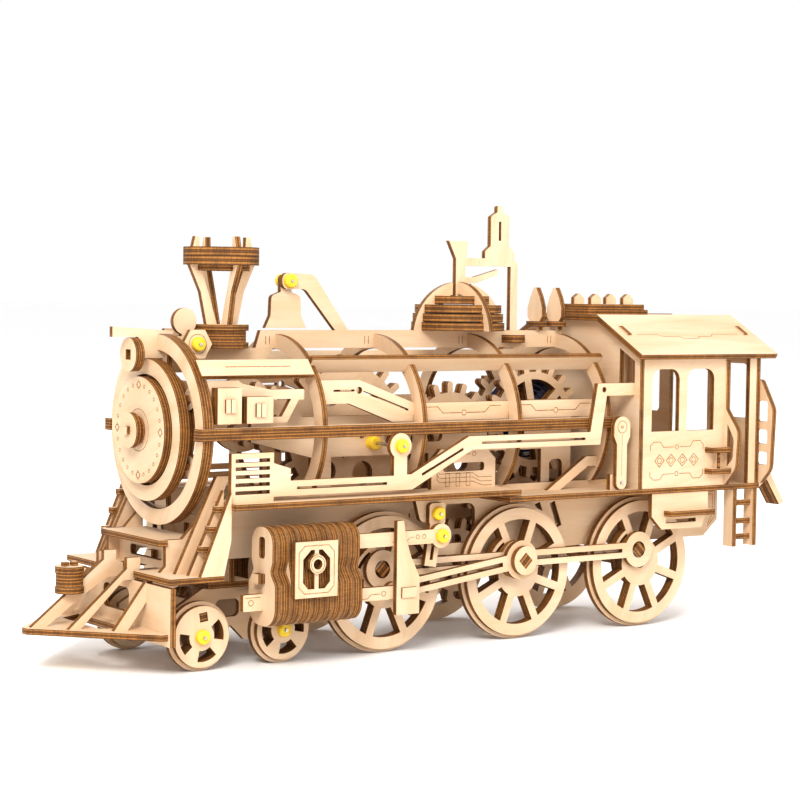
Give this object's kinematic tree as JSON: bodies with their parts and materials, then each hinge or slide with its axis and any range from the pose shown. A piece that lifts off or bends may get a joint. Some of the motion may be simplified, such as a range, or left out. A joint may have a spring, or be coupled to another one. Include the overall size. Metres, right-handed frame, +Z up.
{
  "type": "wooden clockwork locomotive puzzle model",
  "caption": "Laser-cut plywood jigsaw model of an old steam locomotive with an open boiler showing its clockwork gears, spoked drivers, rods, stack, bell and cab.",
  "frame": {"origin": "middle of the overall length and width, at the level of the lowest points of the wheel flanges", "axes": "-X is the front of the engine, the way it runs; +Y is its right-hand side seen from the cab looking forward; +Z is up"},
  "size_m": [0.302, 0.095, 0.1561],
  "materials": {
    "birch_plywood": "sanded plywood with burnt cut edges",
    "steel_wire": "bright wire",
    "yellow_caps": "soft satin plastic",
    "spring_ribbon": "dark blue coated ribbon"
  },
  "bodies": {
    "chassis": {"bay_panels": "birch_plywood", "boiler_hoops": "birch_plywood", "cab_end_walls": "birch_plywood", "cab_rails": "birch_plywood", "cab_roof": "birch_plywood", "cab_side_walls": "birch_plywood", "coupler_drum": "birch_plywood", "cross_members": "birch_plywood", "cylinder_covers": "birch_plywood", "cylinder_layers": "birch_plywood", "decks": "birch_plywood", "dome": "birch_plywood", "front_platforms": "birch_plywood", "front_stairs": "birch_plywood", "gear_side_plates": "birch_plywood", "lamps": "birch_plywood", "main_frames": "birch_plywood", "mid_rails": "birch_plywood", "pilot": "birch_plywood", "side_pipes": "birch_plywood", "smokebox_door": "birch_plywood", "smokebox_front": "birch_plywood", "smokestack": "birch_plywood", "spine_plate": "birch_plywood", "static_caps": "yellow_caps", "static_pins": "steel_wire", "upper_rails": "birch_plywood", "valve_brackets": "birch_plywood", "whistle_and_valves": "birch_plywood"},
    "front_drivers": {"front_drivers": "birch_plywood"},
    "middle_drivers": {"middle_drivers": "birch_plywood", "axle_gear": "birch_plywood"},
    "rear_drivers": {"rear_drivers": "birch_plywood"},
    "leading_truck": {"leading_truck_wheels": "birch_plywood", "leading_truck_axle": "steel_wire", "leading_truck_caps": "yellow_caps"},
    "trailing_truck": {"trailing_truck_wheels": "birch_plywood", "trailing_truck_axle": "steel_wire", "trailing_truck_caps": "yellow_caps"},
    "bell": {"bell": "birch_plywood"},
    "control_lever": {"control_lever": "birch_plywood"},
    "link_gear": {"link_gear": "birch_plywood"},
    "spring_drum": {"spring_drum": "birch_plywood", "mainspring": "spring_ribbon"},
    "second_gear": {"second_gear": "birch_plywood"},
    "great_gear": {"great_gear": "birch_plywood"},
    "governor": {"governor": "birch_plywood"},
    "near_side_rod": {"near_side_rod": "birch_plywood"},
    "near_main_rod": {"near_main_rod": "birch_plywood"},
    "near_crosshead": {"near_crosshead": "birch_plywood"},
    "near_valve_lever": {"near_valve_lever": "birch_plywood"},
    "near_valve_rod": {"near_valve_rod": "birch_plywood", "near_valve_rod_cap": "yellow_caps"},
    "far_side_rod": {"far_side_rod": "birch_plywood"},
    "far_main_rod": {"far_main_rod": "birch_plywood"},
    "far_crosshead": {"far_crosshead": "birch_plywood"},
    "far_valve_lever": {"far_valve_lever": "birch_plywood"},
    "far_valve_rod": {"far_valve_rod": "birch_plywood", "far_valve_rod_cap": "yellow_caps"}
  },
  "joints": [
    {"name": "middle_axle_spin", "type": "hinge", "parent": "chassis", "child": "middle_drivers", "pos_m": [0.029, 0, 0.0243], "axis": [0, 1, 0], "continuous": true},
    {"name": "front_axle_spin", "type": "hinge", "parent": "chassis", "child": "front_drivers", "pos_m": [-0.029, 0, 0.0243], "axis": [0, 1, 0], "continuous": true},
    {"name": "rear_axle_spin", "type": "hinge", "parent": "chassis", "child": "rear_drivers", "pos_m": [0.087, 0, 0.0243], "axis": [0, 1, 0], "continuous": true},
    {"name": "near_side_rod_pivot", "type": "hinge", "parent": "middle_drivers", "child": "near_side_rod", "pos_m": [0.02612, -0.0289, 0.02928], "axis": [0, 1, 0], "continuous": true},
    {"name": "near_main_rod_pivot", "type": "hinge", "parent": "middle_drivers", "child": "near_main_rod", "pos_m": [0.02612, -0.0322, 0.02928], "axis": [0, 1, 0], "continuous": true},
    {"name": "near_crosshead_slide", "type": "slide", "parent": "chassis", "child": "near_crosshead", "axis": [1, 0, 0], "range_m": [-0.0028, 0.0086]},
    {"name": "near_valve_lever_swing", "type": "hinge", "parent": "chassis", "child": "near_valve_lever", "pos_m": [-0.0114, -0.0322, 0.0478], "axis": [0, 1, 0], "range_deg": [-8, 8]},
    {"name": "near_valve_rod_slide", "type": "slide", "parent": "chassis", "child": "near_valve_rod", "axis": [1, 0, 0], "range_m": [-0.00104, 0.00104]},
    {"name": "far_side_rod_pivot", "type": "hinge", "parent": "middle_drivers", "child": "far_side_rod", "pos_m": [0.02612, 0.0289, 0.02928], "axis": [0, 1, 0], "continuous": true},
    {"name": "far_main_rod_pivot", "type": "hinge", "parent": "middle_drivers", "child": "far_main_rod", "pos_m": [0.02612, 0.0322, 0.02928], "axis": [0, 1, 0], "continuous": true},
    {"name": "far_crosshead_slide", "type": "slide", "parent": "chassis", "child": "far_crosshead", "axis": [1, 0, 0], "range_m": [-0.0028, 0.0086]},
    {"name": "far_valve_lever_swing", "type": "hinge", "parent": "chassis", "child": "far_valve_lever", "pos_m": [-0.0114, 0.0322, 0.0478], "axis": [0, 1, 0], "range_deg": [-8, 8]},
    {"name": "far_valve_rod_slide", "type": "slide", "parent": "chassis", "child": "far_valve_rod", "axis": [1, 0, 0], "range_m": [-0.00104, 0.00104]},
    {"name": "leading_truck_spin", "type": "hinge", "parent": "chassis", "child": "leading_truck", "pos_m": [-0.101, 0, 0.0114], "axis": [0, 1, 0], "continuous": true},
    {"name": "trailing_truck_spin", "type": "hinge", "parent": "chassis", "child": "trailing_truck", "pos_m": [-0.07, 0, 0.0114], "axis": [0, 1, 0], "continuous": true},
    {"name": "bell_swing", "type": "hinge", "parent": "chassis", "child": "bell", "pos_m": [-0.0525, 0.0022, 0.1273], "axis": [0, 1, 0], "range_deg": [-20, 20]},
    {"name": "control_lever_swing", "type": "hinge", "parent": "chassis", "child": "control_lever", "pos_m": [0.0686, -0.0362, 0.0555], "axis": [0, 1, 0], "range_deg": [-15, 3]},
    {"name": "link_gear_spin", "type": "hinge", "parent": "chassis", "child": "link_gear", "pos_m": [0.05431, 0, 0.04547], "axis": [0, 1, 0], "continuous": true},
    {"name": "spring_drum_spin", "type": "hinge", "parent": "chassis", "child": "spring_drum", "pos_m": [0.051, 0, 0.0773], "axis": [0, 1, 0], "continuous": true},
    {"name": "second_gear_spin", "type": "hinge", "parent": "chassis", "child": "second_gear", "pos_m": [0.01246, 0, 0.0713], "axis": [0, 1, 0], "continuous": true},
    {"name": "great_gear_spin", "type": "hinge", "parent": "chassis", "child": "great_gear", "pos_m": [-0.03244, 0, 0.0743], "axis": [0, 1, 0], "continuous": true},
    {"name": "governor_spin", "type": "hinge", "parent": "chassis", "child": "governor", "pos_m": [-0.06775, 0, 0.0813], "axis": [0, 1, 0], "continuous": true}
  ],
  "couplings": [
    {"joint": "front_axle_spin", "follows": "middle_axle_spin", "ratio": 1},
    {"joint": "rear_axle_spin", "follows": "middle_axle_spin", "ratio": 1},
    {"joint": "near_side_rod_pivot", "follows": "middle_axle_spin", "ratio": -1},
    {"joint": "near_main_rod_pivot", "follows": "middle_axle_spin", "ratio": -1},
    {"joint": "near_valve_lever_swing", "follows": "near_valve_rod_slide", "rad_per_m": -133.87},
    {"joint": "far_side_rod_pivot", "follows": "middle_axle_spin", "ratio": -1},
    {"joint": "far_main_rod_pivot", "follows": "middle_axle_spin", "ratio": -1},
    {"joint": "far_valve_lever_swing", "follows": "far_valve_rod_slide", "rad_per_m": -133.87},
    {"joint": "link_gear_spin", "follows": "middle_axle_spin", "ratio": -0.73684},
    {"joint": "spring_drum_spin", "follows": "middle_axle_spin", "ratio": 0.44211},
    {"joint": "second_gear_spin", "follows": "middle_axle_spin", "ratio": -0.46537},
    {"joint": "great_gear_spin", "follows": "middle_axle_spin", "ratio": 0.34008},
    {"joint": "governor_spin", "follows": "middle_axle_spin", "ratio": -0.88421}
  ]
}
